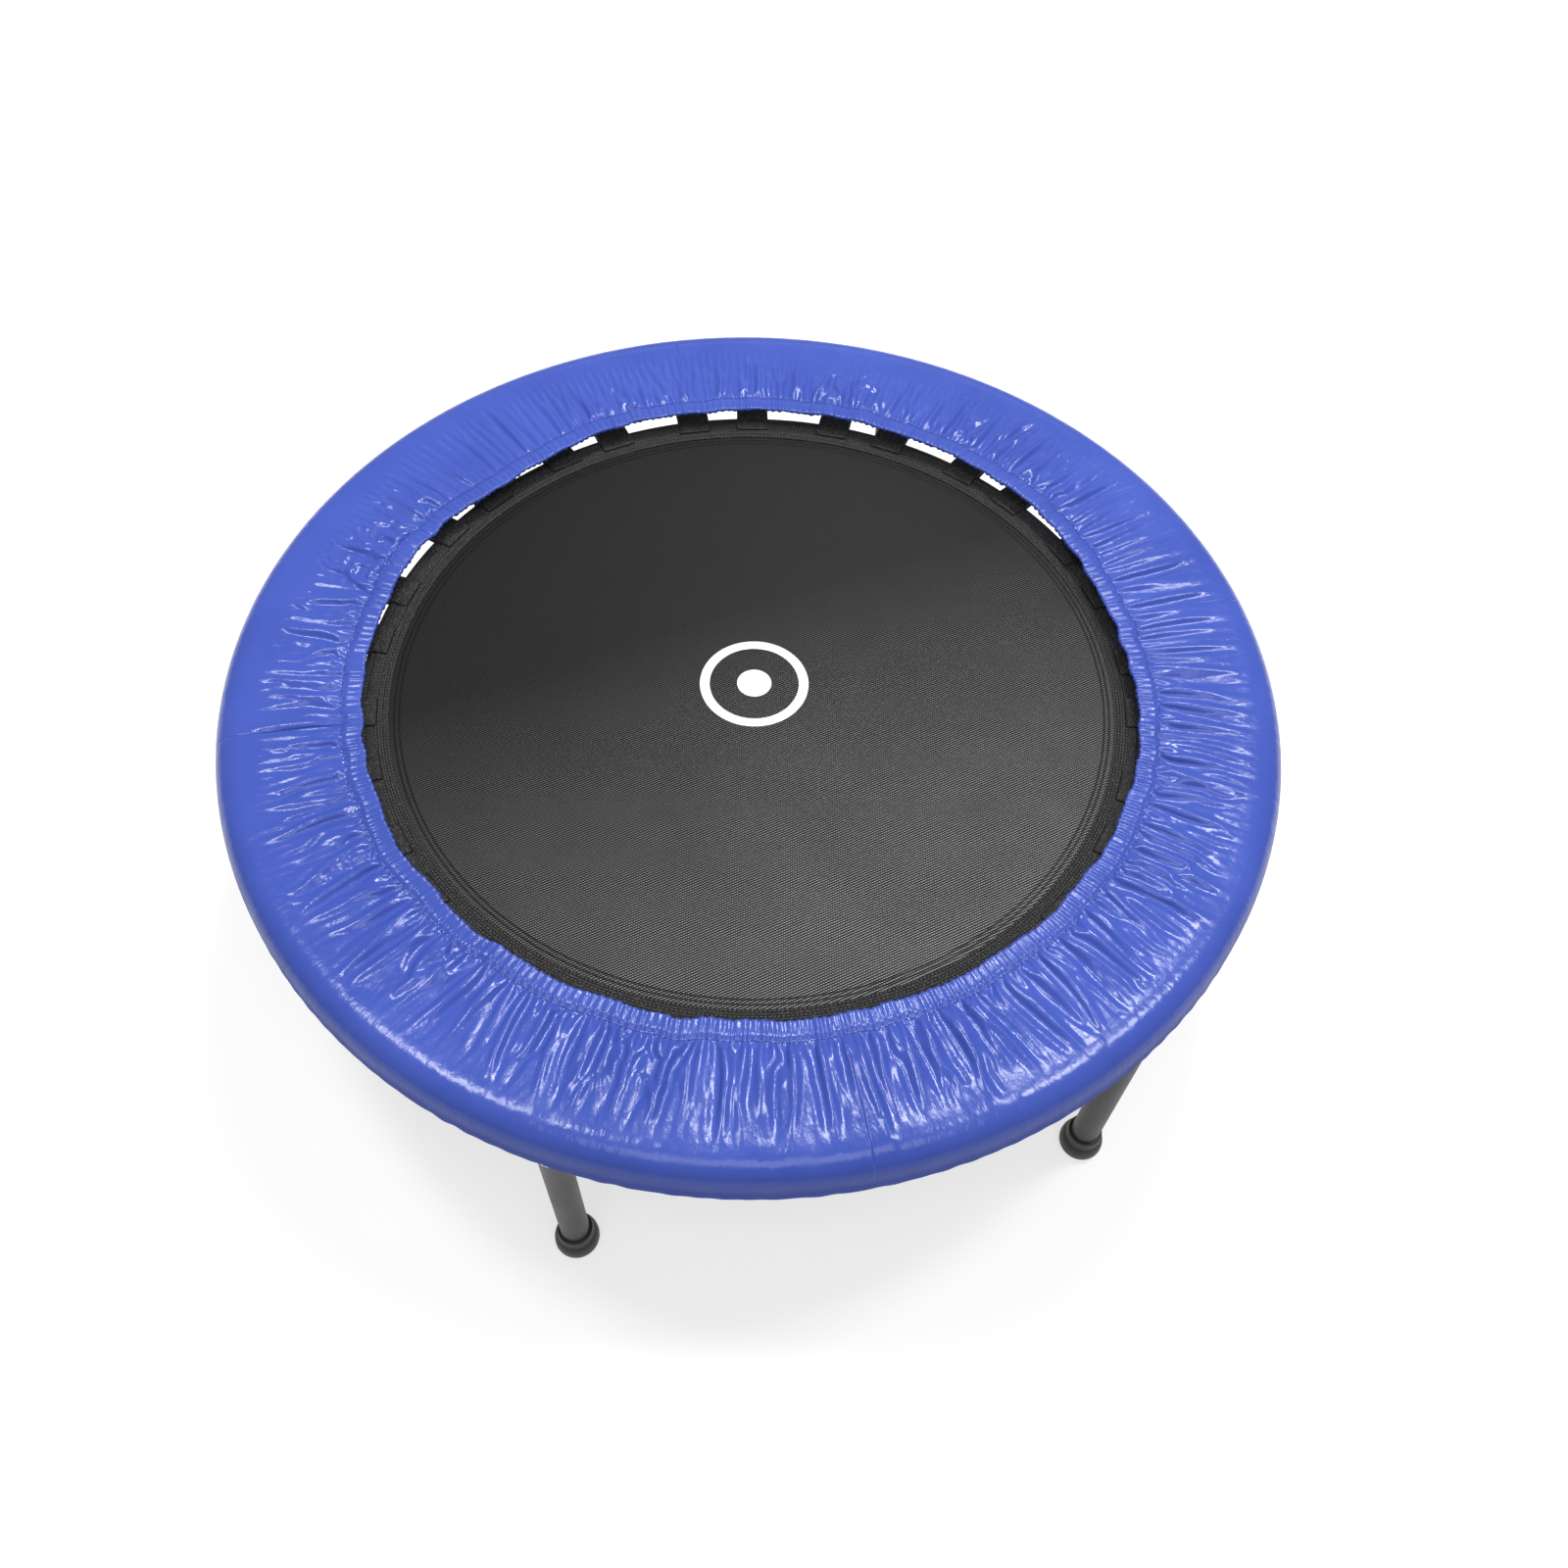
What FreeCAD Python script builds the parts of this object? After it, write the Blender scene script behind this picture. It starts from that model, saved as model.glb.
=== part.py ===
"""Round mini trampoline: tube ring on six screw-in legs, sprung mat, gathered rim cover.

Units are millimetres. +Z is up, and the origin is on the floor at the centre of the ring.
Azimuths are in degrees, measured from -Y towards +X, seen from above.
"""
import FreeCAD, Part
import math
import os

# ---- driving dimensions ------------------------------------------------------------------
TOTAL_HEIGHT = 265.0        # floor to the highest edge of the cover
COVER_RADIUS = 482.5        # outside of the cover's skirt
COVER_CORNER = 22.0         # radius of the rolled outer edge of the cover
COVER_HOLE_RADIUS = 353.0   # edge of the cover over the mat
SKIRT_HEIGHT = 38.0         # side of the cover, from the highest edge to the hem

RING_RADIUS = 467.0         # centre line of the frame ring
TUBE_RADIUS = 12.5          # outside of the ring tube and of the leg tubes
TUBE_WALL = 1.2

MAT_RADIUS = 361.5
MAT_THICKNESS = 1.2
HEM_WIDTH = 28.0
HEM_THICKNESS = 1.0         # each of the two layers

LEG_COUNT = 6
FIRST_LEG_AZIMUTH = -18.2

PAIR_COUNT = 15             # springs, hooks and tabs come in pairs
FIRST_PAIR_AZIMUTH = 18.4
HALF_PAIR_ANGLE = 5.0       # from the middle of a pair to either of its springs

# ---- webbing tabs and the wire triangles that they hold -----------------------------------
TAB_WIDTH = 33.0
TAB_THICKNESS = 1.2
TAB_INNER_RADIUS = 344.0    # where the sewn end of the tab starts, on the hem
TRIANGLE_BAR_RADIUS = 385.0
TRIANGLE_TIP_RADIUS = 404.9
TRIANGLE_HALF_WIDTH = 22.0
TRIANGLE_WIRE = 1.5         # wire radius

# ---- springs -------------------------------------------------------------------------------
SPRING_WIRE = 1.1           # wire radius
COIL_OUTER = 6.5
COIL_INNER = 4.3
COIL_START = 410.0          # from the centre of the ring
COIL_END = 446.0
BRIDGE_INSET = 1.5 * SPRING_WIRE    # the wires that cross the coil are this far inside its ends
WIRE_LAP = 0.5 * SPRING_WIRE        # two wires overlap this much where they join
HOOK_EYE_CENTRE = 405.5
HOOK_EYE_RADIUS = 5.0
FRAME_HOOK_RADIUS = 459.5   # where the outer hook turns up inside the ring tube
FRAME_HOOK_RISE = 5.0
HOOK_HOLE_RADIUS = 3.5

# ---- legs ----------------------------------------------------------------------------------
BOSS_RADIUS = 11.0
BOSS_DROP = 7.0             # boss face below the ring tube
BOSS_SADDLE = 11.0          # height of the boss blank, before the ring is cut out of it
STUD_RADIUS = 5.0
STUD_LENGTH = 14.0
STUD_CHAMFER = 1.0
STUD_ROOT = 1.0             # the stud starts this far inside its boss
WASHER_RADIUS = 9.0
WASHER_BORE = 5.2
WASHER_THICKNESS = 1.6
WASHER_SLIT = 1.6
INSERT_BORE = 5.1
INSERT_FLANGE = 2.0
INSERT_DEPTH = 16.0
INSERT_CLEARANCE = 0.1
FOOT_SOLE = 5.0             # rubber under the end of the tube
FOOT_HEIGHT = 31.0
FOOT_RADIUS = 19.4
FOOT_EDGE = 4.4             # the flat sole is this much smaller than the belly
FOOT_BELLY_HEIGHT = 10.0
FOOT_TAPER = 0.7            # halfway from the belly to the shoulder
FOOT_SHOULDER_HEIGHT = 20.5
FOOT_SHOULDER_WALL = 3.6
FOOT_COLLAR_WALL = 2.8
FOOT_COLLAR_ROUND = 1.2
FOOT_BORE_CLEARANCE = 0.05

# ---- cover, pad and elastic ----------------------------------------------------------------
PANEL_COUNT = 4
FIRST_SEAM_AZIMUTH = 11.7
COVER_THICKNESS = 0.9
COVER_FALL = 3.5            # the top sheet drops this much from the rolled edge to the hole
TUNNEL_HEIGHT = 3.6         # stitched tunnel around the hole
TUNNEL_END = 373.0
HEM_ROLL = 2.2              # outer radius of the rolled hem at the foot of the skirt
HEM_RETURN = 1.8            # the rolled hem comes up this far on its inner side
PAD_INNER_RADIUS = 375.0
PAD_OUTER_RADIUS = 475.5
PAD_CORNER_ANGLE = 62.0     # where the pad's bevel meets the inside of the rolled edge
PAD_GAP = 0.4
INNER_ELASTIC_WIDTH = 12.0
INNER_ELASTIC_THICKNESS = 0.8
OUTER_ELASTIC_RADIUS = 1.2

# ---- heights that follow from the above ----------------------------------------------------
SKIRT_FOOT = TOTAL_HEIGHT - SKIRT_HEIGHT
RING_HEIGHT = SKIRT_FOOT + TUBE_RADIUS
RING_TOP = RING_HEIGHT + TUBE_RADIUS
BOSS_FACE = RING_HEIGHT - TUBE_RADIUS - BOSS_DROP
LEG_TOP = BOSS_FACE - WASHER_THICKNESS
TUBE_TOP = LEG_TOP - INSERT_FLANGE
CORNER_CENTRE_R = COVER_RADIUS - COVER_CORNER
CORNER_CENTRE_Z = TOTAL_HEIGHT - COVER_CORNER
HOLE_TOP = TOTAL_HEIGHT - COVER_FALL
TUNNEL_FLOOR = HOLE_TOP - TUNNEL_HEIGHT

ORIGIN = FreeCAD.Vector(0, 0, 0)
UP = FreeCAD.Vector(0, 0, 1)
DOWN = FreeCAD.Vector(0, 0, -1)
OUTWARD = FreeCAD.Vector(1, 0, 0)


def point(radius, height, sideways=0.0):
    """A point in the upright plane through +X, where shapes are drawn before they are turned."""
    return FreeCAD.Vector(radius, sideways, height)


def leg_azimuths():
    return [FIRST_LEG_AZIMUTH + 360.0 / LEG_COUNT * i for i in range(LEG_COUNT)]


def spring_azimuths():
    angles = []
    for i in range(PAIR_COUNT):
        middle = FIRST_PAIR_AZIMUTH + 360.0 / PAIR_COUNT * i
        angles += [middle - HALF_PAIR_ANGLE, middle + HALF_PAIR_ANGLE]
    return angles


def turned(shape, azimuth):
    """A copy of a shape drawn along +X, turned to an azimuth."""
    copy = shape.copy()
    copy.rotate(ORIGIN, UP, azimuth - 90.0)
    return copy


def line(start, end):
    return Part.LineSegment(point(*start), point(*end)).toShape()


def arc(start, middle, end):
    return Part.Arc(point(*start), point(*middle), point(*end)).toShape()


def on_circle(centre, radius, degrees):
    angle = math.radians(degrees)
    return (centre[0] + radius * math.cos(angle), centre[1] + radius * math.sin(angle))


def revolved(edges, degrees=360):
    """A solid of revolution about Z from a closed outline in the (radius, height) plane."""
    face = Part.Face(Part.Wire(edges))
    return face.revolve(ORIGIN, UP, degrees)


def closed(corners):
    """Straight edges around a list of (radius, height) corners."""
    following = corners[1:] + corners[:1]
    return [line(a, b) for a, b in zip(corners, following)]


def ring_solid(inner, outer, low, high):
    return revolved(closed([(inner, low), (outer, low), (outer, high), (inner, high)]))


def rod(start, end, radius):
    """A round bar between two points."""
    direction = end - start
    return Part.makeCylinder(radius, direction.Length, start, direction)


def torus_at(radius, height, major, minor, axis=UP):
    return Part.makeTorus(major, minor, point(radius, height), axis)


# ---- frame ---------------------------------------------------------------------------------
def frame_ring():
    """Bent and butt-welded steel tube, with one hole on its inner side for each spring."""
    outer = torus_at(0, RING_HEIGHT, RING_RADIUS, TUBE_RADIUS)
    inner = torus_at(0, RING_HEIGHT, RING_RADIUS, TUBE_RADIUS - TUBE_WALL)
    drill_start = point(RING_RADIUS - 1.5 * TUBE_RADIUS, RING_HEIGHT)
    drill = Part.makeCylinder(HOOK_HOLE_RADIUS, TUBE_RADIUS, drill_start, OUTWARD)
    holes = [turned(drill, azimuth) for azimuth in spring_azimuths()]
    return outer.cut(inner).cut(Part.makeCompound(holes))


def leg_stud():
    """Boss that is welded under the ring, with the threaded stud for one leg."""
    boss = Part.makeCylinder(BOSS_RADIUS, BOSS_SADDLE, point(RING_RADIUS, BOSS_FACE), UP)
    boss = boss.cut(torus_at(0, RING_HEIGHT, RING_RADIUS, TUBE_RADIUS))
    stud = Part.makeCylinder(STUD_RADIUS, STUD_LENGTH + STUD_ROOT,
                             point(RING_RADIUS, BOSS_FACE + STUD_ROOT), DOWN)
    tip = Part.makeCone(STUD_RADIUS, STUD_RADIUS - STUD_CHAMFER, STUD_CHAMFER,
                        point(RING_RADIUS, BOSS_FACE - STUD_LENGTH), DOWN)
    return boss.fuse([stud, tip]).removeSplitter()


# ---- legs ----------------------------------------------------------------------------------
def lock_washer():
    """Split spring washer between a boss and the leg under it."""
    seat = point(RING_RADIUS, LEG_TOP)
    ring = Part.makeCylinder(WASHER_RADIUS, WASHER_THICKNESS, seat, UP)
    ring = ring.cut(Part.makeCylinder(WASHER_BORE, WASHER_THICKNESS, seat, UP))
    corner = point(RING_RADIUS, LEG_TOP, -WASHER_SLIT / 2)
    slit = Part.makeBox(2 * WASHER_RADIUS, WASHER_SLIT, WASHER_THICKNESS, corner)
    return ring.cut(slit)


def leg_insert():
    """Threaded plug in the top of a leg tube."""
    flange = Part.makeCylinder(TUBE_RADIUS, INSERT_FLANGE, point(RING_RADIUS, TUBE_TOP), UP)
    plug_radius = TUBE_RADIUS - TUBE_WALL - INSERT_CLEARANCE
    plug_foot = point(RING_RADIUS, TUBE_TOP - INSERT_DEPTH)
    plug = Part.makeCylinder(plug_radius, INSERT_DEPTH, plug_foot, UP)
    bore = Part.makeCylinder(INSERT_BORE, INSERT_DEPTH + INSERT_FLANGE, plug_foot, UP)
    return flange.fuse(plug).cut(bore).removeSplitter()


def leg_tube():
    foot = point(RING_RADIUS, FOOT_SOLE)
    length = TUBE_TOP - FOOT_SOLE
    outer = Part.makeCylinder(TUBE_RADIUS, length, foot, UP)
    return outer.cut(Part.makeCylinder(TUBE_RADIUS - TUBE_WALL, length, foot, UP))


def rubber_foot():
    """Push-on rubber foot: a bulging base below a short collar."""
    bore = TUBE_RADIUS + FOOT_BORE_CLEARANCE
    sole = (FOOT_RADIUS - FOOT_EDGE, 0)
    belly = (FOOT_RADIUS, FOOT_BELLY_HEIGHT)
    shoulder = (TUBE_RADIUS + FOOT_SHOULDER_WALL, FOOT_SHOULDER_HEIGHT)
    collar = (TUBE_RADIUS + FOOT_COLLAR_WALL, FOOT_HEIGHT - FOOT_COLLAR_ROUND)
    lip = (collar[0] - FOOT_COLLAR_ROUND, FOOT_HEIGHT)
    edges = [
        line((0, 0), sole),
        arc(sole, (FOOT_RADIUS - FOOT_EDGE / 4, FOOT_BELLY_HEIGHT / 3), belly),
        arc(belly, (FOOT_RADIUS - FOOT_TAPER, (FOOT_BELLY_HEIGHT + FOOT_SHOULDER_HEIGHT) / 2), shoulder),
        line(shoulder, collar),
        arc(collar, on_circle((lip[0], collar[1]), FOOT_COLLAR_ROUND, 45), lip),
        line(lip, (bore, FOOT_HEIGHT)),
        line((bore, FOOT_HEIGHT), (bore, FOOT_SOLE)),
        line((bore, FOOT_SOLE), (0, FOOT_SOLE)),
        line((0, FOOT_SOLE), (0, 0)),
    ]
    foot = revolved(edges)
    foot.translate(point(RING_RADIUS, 0))
    return foot


# ---- mat -----------------------------------------------------------------------------------
def jumping_mat():
    low = RING_HEIGHT - MAT_THICKNESS / 2
    return Part.makeCylinder(MAT_RADIUS, MAT_THICKNESS, point(0, low), UP)


def hem_webbing():
    """Two flat rings of webbing, sewn above and below the edge of the mat."""
    inner = MAT_RADIUS - HEM_WIDTH
    upper = RING_HEIGHT + MAT_THICKNESS / 2
    lower = RING_HEIGHT - MAT_THICKNESS / 2
    layers = [
        ring_solid(inner, MAT_RADIUS, upper, upper + HEM_THICKNESS),
        ring_solid(inner, MAT_RADIUS, lower - HEM_THICKNESS, lower),
    ]
    return Part.makeCompound(layers)


def webbing_tab():
    """Strap folded around the bar of its triangle, with both ends sewn to the hem."""
    inner_half = MAT_THICKNESS / 2 + HEM_THICKNESS
    outer_half = inner_half + TAB_THICKNESS
    bar = TRIANGLE_BAR_RADIUS
    z = RING_HEIGHT
    edges = [
        line((TAB_INNER_RADIUS, z + outer_half), (bar, z + outer_half)),
        arc((bar, z + outer_half), (bar + outer_half, z), (bar, z - outer_half)),
        line((bar, z - outer_half), (TAB_INNER_RADIUS, z - outer_half)),
        line((TAB_INNER_RADIUS, z - outer_half), (TAB_INNER_RADIUS, z - inner_half)),
        line((TAB_INNER_RADIUS, z - inner_half), (bar, z - inner_half)),
        arc((bar, z - inner_half), (bar + inner_half, z), (bar, z + inner_half)),
        line((bar, z + inner_half), (TAB_INNER_RADIUS, z + inner_half)),
        line((TAB_INNER_RADIUS, z + inner_half), (TAB_INNER_RADIUS, z + outer_half)),
    ]
    strap = Part.Face(Part.Wire(edges)).extrude(FreeCAD.Vector(0, TAB_WIDTH, 0))
    strap.translate(FreeCAD.Vector(0, -TAB_WIDTH / 2, 0))
    return strap


def wire_triangle():
    """Triangle of round wire: its bar is inside a tab, and a spring hooks its tip."""
    corners = [
        point(TRIANGLE_BAR_RADIUS, RING_HEIGHT, -TRIANGLE_HALF_WIDTH),
        point(TRIANGLE_BAR_RADIUS, RING_HEIGHT, TRIANGLE_HALF_WIDTH),
        point(TRIANGLE_TIP_RADIUS, RING_HEIGHT, 0),
    ]
    sides = [rod(a, b, TRIANGLE_WIRE) for a, b in zip(corners, corners[1:] + corners[:1])]
    knuckles = [Part.makeSphere(TRIANGLE_WIRE, corner) for corner in corners]
    return sides[0].fuse(sides[1:] + knuckles)


def coil_spring():
    """Tension spring: its closely wound coil as a sleeve, an eye inside and a hook outside."""
    z = RING_HEIGHT
    start = point(COIL_START, z)
    sleeve = Part.makeCylinder(COIL_OUTER, COIL_END - COIL_START, start, OUTWARD)
    sleeve = sleeve.cut(Part.makeCylinder(COIL_INNER, COIL_END - COIL_START, start, OUTWARD))
    eye = torus_at(HOOK_EYE_CENTRE, z, HOOK_EYE_RADIUS, SPRING_WIRE, FreeCAD.Vector(0, 1, 0))
    mean = (COIL_OUTER + COIL_INNER) / 2
    inner_bridge = COIL_START + BRIDGE_INSET
    outer_bridge = COIL_END - BRIDGE_INSET
    hook_end = FRAME_HOOK_RADIUS + WIRE_LAP
    hook_foot = z - WIRE_LAP
    wires = [
        rod(point(inner_bridge, z), point(inner_bridge, z + mean), SPRING_WIRE),
        rod(point(outer_bridge, z), point(outer_bridge, z + mean), SPRING_WIRE),
        rod(point(outer_bridge, z), point(hook_end, z), SPRING_WIRE),
        rod(point(FRAME_HOOK_RADIUS, hook_foot), point(FRAME_HOOK_RADIUS, z + FRAME_HOOK_RISE),
            SPRING_WIRE),
    ]
    return sleeve.fuse([eye] + wires)


# ---- cover ---------------------------------------------------------------------------------
def cover_panel():
    """One sewn panel of PVC sheet: hem, skirt, rolled outer edge, sloping top and tunnel."""
    t = COVER_THICKNESS
    hem = (COVER_RADIUS - HEM_ROLL, SKIRT_FOOT + HEM_ROLL)
    corner = (CORNER_CENTRE_R, CORNER_CENTRE_Z)
    roll = TUNNEL_HEIGHT / 2
    mouth = (COVER_HOLE_RADIUS + roll, TUNNEL_FLOOR + roll)
    hem_top = hem[1] + HEM_RETURN
    outside = COVER_RADIUS
    tunnel_roof = HOLE_TOP - t
    edges = [
        line((outside, hem[1]), (outside, corner[1])),
        arc((outside, corner[1]), on_circle(corner, COVER_CORNER, 45), (corner[0], TOTAL_HEIGHT)),
        line((corner[0], TOTAL_HEIGHT), (mouth[0], HOLE_TOP)),
        arc((mouth[0], HOLE_TOP), (COVER_HOLE_RADIUS, mouth[1]), (mouth[0], TUNNEL_FLOOR)),
        line((mouth[0], TUNNEL_FLOOR), (TUNNEL_END, TUNNEL_FLOOR)),
        line((TUNNEL_END, TUNNEL_FLOOR), (TUNNEL_END, TUNNEL_FLOOR + t)),
        line((TUNNEL_END, TUNNEL_FLOOR + t), (mouth[0], TUNNEL_FLOOR + t)),
        arc((mouth[0], TUNNEL_FLOOR + t), (COVER_HOLE_RADIUS + t, mouth[1]), (mouth[0], tunnel_roof)),
        line((mouth[0], tunnel_roof), (corner[0], TOTAL_HEIGHT - t)),
        arc((corner[0], TOTAL_HEIGHT - t), on_circle(corner, COVER_CORNER - t, 45),
            (outside - t, corner[1])),
        line((outside - t, corner[1]), (outside - t, hem[1])),
        arc((outside - t, hem[1]), on_circle(hem, HEM_ROLL - t, -90), (hem[0] - HEM_ROLL + t, hem[1])),
        line((hem[0] - HEM_ROLL + t, hem[1]), (hem[0] - HEM_ROLL + t, hem_top)),
        line((hem[0] - HEM_ROLL + t, hem_top), (hem[0] - HEM_ROLL, hem_top)),
        line((hem[0] - HEM_ROLL, hem_top), (hem[0] - HEM_ROLL, hem[1])),
        arc((hem[0] - HEM_ROLL, hem[1]), on_circle(hem, HEM_ROLL, -90), (outside, hem[1])),
    ]
    return revolved(edges, 360 / PANEL_COUNT)


def under_sheet(radius):
    """Height of the pad's top face, just under the sloping sheet."""
    slope = COVER_FALL / (CORNER_CENTRE_R - COVER_HOLE_RADIUS)
    return TOTAL_HEIGHT - slope * (CORNER_CENTRE_R - radius) - COVER_THICKNESS - PAD_GAP


def foam_pad():
    """Foam ring that lies on the frame ring and over the springs, inside the cover."""
    low = RING_TOP + PAD_GAP
    corner = (CORNER_CENTRE_R, CORNER_CENTRE_Z)
    reach = COVER_CORNER - COVER_THICKNESS - PAD_GAP
    corners = [
        (PAD_INNER_RADIUS, low),
        (PAD_OUTER_RADIUS, low),
        on_circle(corner, reach, PAD_CORNER_ANGLE),
        (CORNER_CENTRE_R, under_sheet(CORNER_CENTRE_R)),
        (PAD_INNER_RADIUS, under_sheet(PAD_INNER_RADIUS)),
    ]
    return revolved(closed(corners))


def inner_elastic():
    """Flat elastic band in the tunnel round the hole."""
    inner = COVER_HOLE_RADIUS + TUNNEL_HEIGHT / 2
    middle = TUNNEL_FLOOR + TUNNEL_HEIGHT / 2
    half = INNER_ELASTIC_THICKNESS / 2
    return ring_solid(inner, inner + INNER_ELASTIC_WIDTH, middle - half, middle + half)


def outer_elastic():
    """Round elastic cord in the rolled hem of the skirt."""
    centre_radius = COVER_RADIUS - HEM_ROLL
    return torus_at(0, SKIRT_FOOT + HEM_ROLL, centre_radius, OUTER_ELASTIC_RADIUS)


# ---- the whole part ------------------------------------------------------------------------
def all_nodes():
    springs = spring_azimuths()
    legs = leg_azimuths()
    nodes = {
        "frame_ring": frame_ring(),
        "leg_studs": Part.makeCompound([turned(leg_stud(), azimuth) for azimuth in legs]),
        "jumping_mat": jumping_mat(),
        "hem_webbing": hem_webbing(),
        "webbing_tabs": Part.makeCompound([turned(webbing_tab(), azimuth) for azimuth in springs]),
        "wire_triangles": Part.makeCompound([turned(wire_triangle(), azimuth) for azimuth in springs]),
        "coil_springs": Part.makeCompound([turned(coil_spring(), azimuth) for azimuth in springs]),
        "foam_pad": foam_pad(),
        "inner_elastic": inner_elastic(),
        "outer_elastic": outer_elastic(),
    }
    panel = cover_panel()
    for number in range(1, PANEL_COUNT + 1):
        azimuth = FIRST_SEAM_AZIMUTH + 360 / PANEL_COUNT * (number - 1)
        nodes[f"cover_panel_{number}"] = turned(panel, azimuth)
    leg_pieces = {
        "lock_washer": lock_washer(),
        "leg_insert": leg_insert(),
        "leg_tube": leg_tube(),
        "rubber_foot": rubber_foot(),
    }
    for number, azimuth in enumerate(legs, start=1):
        for name, shape in leg_pieces.items():
            nodes[f"{name}_{number}"] = turned(shape, azimuth)
    return nodes


def main():
    os.makedirs("parts", exist_ok=True)
    for name, shape in all_nodes().items():
        bad = not shape.isValid() or any(solid.Volume <= 0 for solid in shape.Solids)
        print(name, "solids", len(shape.Solids), "volume", round(shape.Volume), "BAD" if bad else "")
        shape.exportStep(f"parts/{name}.step")


main()
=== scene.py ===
"""Looks of the round mini trampoline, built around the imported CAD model.

Metres, +Z up, origin on the floor at the centre of the ring. Azimuths are in radians, measured
from -Y towards +X. The camera looks at the front, from -Y.
"""
import math

import bpy
import numpy as np
from mathutils import Matrix, Vector


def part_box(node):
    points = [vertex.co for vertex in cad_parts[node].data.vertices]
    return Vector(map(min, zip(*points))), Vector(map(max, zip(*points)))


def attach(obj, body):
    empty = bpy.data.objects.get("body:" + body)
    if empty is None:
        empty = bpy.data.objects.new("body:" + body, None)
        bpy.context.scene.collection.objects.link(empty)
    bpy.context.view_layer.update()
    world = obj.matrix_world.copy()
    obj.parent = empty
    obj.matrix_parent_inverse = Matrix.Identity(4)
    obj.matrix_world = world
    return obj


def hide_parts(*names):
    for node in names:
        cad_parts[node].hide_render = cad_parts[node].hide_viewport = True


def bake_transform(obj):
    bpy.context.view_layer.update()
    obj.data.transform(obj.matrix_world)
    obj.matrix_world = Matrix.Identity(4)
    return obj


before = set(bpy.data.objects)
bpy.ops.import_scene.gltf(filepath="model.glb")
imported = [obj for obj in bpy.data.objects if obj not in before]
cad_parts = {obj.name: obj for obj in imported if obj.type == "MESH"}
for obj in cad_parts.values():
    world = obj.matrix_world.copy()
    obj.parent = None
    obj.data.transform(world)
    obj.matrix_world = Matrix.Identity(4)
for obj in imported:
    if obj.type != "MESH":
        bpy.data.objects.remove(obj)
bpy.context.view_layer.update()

MM = 0.001
TURN = 2 * math.pi


# ---- sizes, from the frame -----------------------------------------------------------------
def far_radius(node):
    """Largest distance of a node's vertices from the Z axis."""
    return max(math.hypot(v.co.x, v.co.y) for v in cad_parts[node].data.vertices)


def near_radius(node):
    """Smallest distance of a node's vertices from the Z axis."""
    return min(math.hypot(v.co.x, v.co.y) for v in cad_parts[node].data.vertices)


PANELS = [f"cover_panel_{i}" for i in range(1, 5)]
COVER_R = far_radius("cover_panel_1")
HOLE_R = near_radius("cover_panel_1")
COVER_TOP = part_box("cover_panel_1")[1].z
SKIRT_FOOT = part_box("cover_panel_1")[0].z
MAT_R = far_radius("jumping_mat")
MAT_Z = (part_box("jumping_mat")[0].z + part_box("jumping_mat")[1].z) / 2
MAT_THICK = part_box("jumping_mat")[1].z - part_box("jumping_mat")[0].z
HEM_INNER = near_radius("hem_webbing")
TAB_INNER = near_radius("webbing_tabs")
RING_R = (far_radius("frame_ring") + near_radius("frame_ring")) / 2
FIRST_SEAM = math.radians(11.7)     # azimuth of a seam between two panels of the cover
FIRST_PAIR = math.radians(18.4)     # azimuth of the middle of a pair of springs
HALF_PAIR = math.radians(5.0)
PAIRS = 15


def spring_azimuths():
    """Azimuths of the springs, which come in pairs, as their triangles and tabs do."""
    found = []
    for i in range(PAIRS):
        middle = FIRST_PAIR + TURN * i / PAIRS
        found += [middle - HALF_PAIR, middle + HALF_PAIR]
    return found


def place(radius, height, azimuth, sideways=0.0):
    """A point at a radius and azimuth; sideways is along the rim, towards growing azimuth."""
    out = Vector((math.sin(azimuth), -math.cos(azimuth), 0))
    along = Vector((math.cos(azimuth), math.sin(azimuth), 0))
    return out * radius + along * sideways + Vector((0, 0, height))


# ---- camera, light and floor ---------------------------------------------------------------
CAMERA_AT = Vector((0.0044, -0.8188, 1.2556))
CAMERA_TURN = (1.945, 55.274, -2.774)           # yaw, pitch and roll in degrees
CAMERA_LENS = 32.14
LIGHT_AIM = (0, 0, 0.25)
LIGHTS = (                                      # name, position, size, watts
    ("left_box", (-0.98, 0.28, 2.9), (0.5, 0.75), 30),
    ("right_box", (1.28, 0.26, 2.9), (0.5, 0.75), 33),
    ("mat_box", (0.45, 1.38, 2.9), (0.9, 0.6), 56),
    ("front_box", (0.1, -1.4, 2.9), (2.0, 1.1), 24),
    ("back_box", (0.2, 3.4, 2.2), (2.4, 0.5), 3),
)
FLOOR_HALF = 8.0


def camera():
    """The camera looks down at the front of the trampoline."""
    yaw, pitch, roll = (math.radians(angle) for angle in CAMERA_TURN)
    ahead = Vector((math.sin(yaw) * math.cos(pitch), math.cos(yaw) * math.cos(pitch), -math.sin(pitch)))
    right = Vector((math.cos(yaw), -math.sin(yaw), 0))
    down = ahead.cross(right)
    x_axis = right * math.cos(roll) + down * math.sin(roll)
    y_axis = -(down * math.cos(roll) - right * math.sin(roll))
    data = bpy.data.cameras.new("camera")
    data.sensor_width = 36
    data.lens = CAMERA_LENS
    data.clip_end = 50
    obj = bpy.data.objects.new("camera", data)
    turn = Matrix((x_axis, y_axis, -ahead)).transposed().to_4x4()
    obj.matrix_world = Matrix.Translation(CAMERA_AT) @ turn
    bpy.context.scene.collection.objects.link(obj)
    bpy.context.scene.camera = obj


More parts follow.
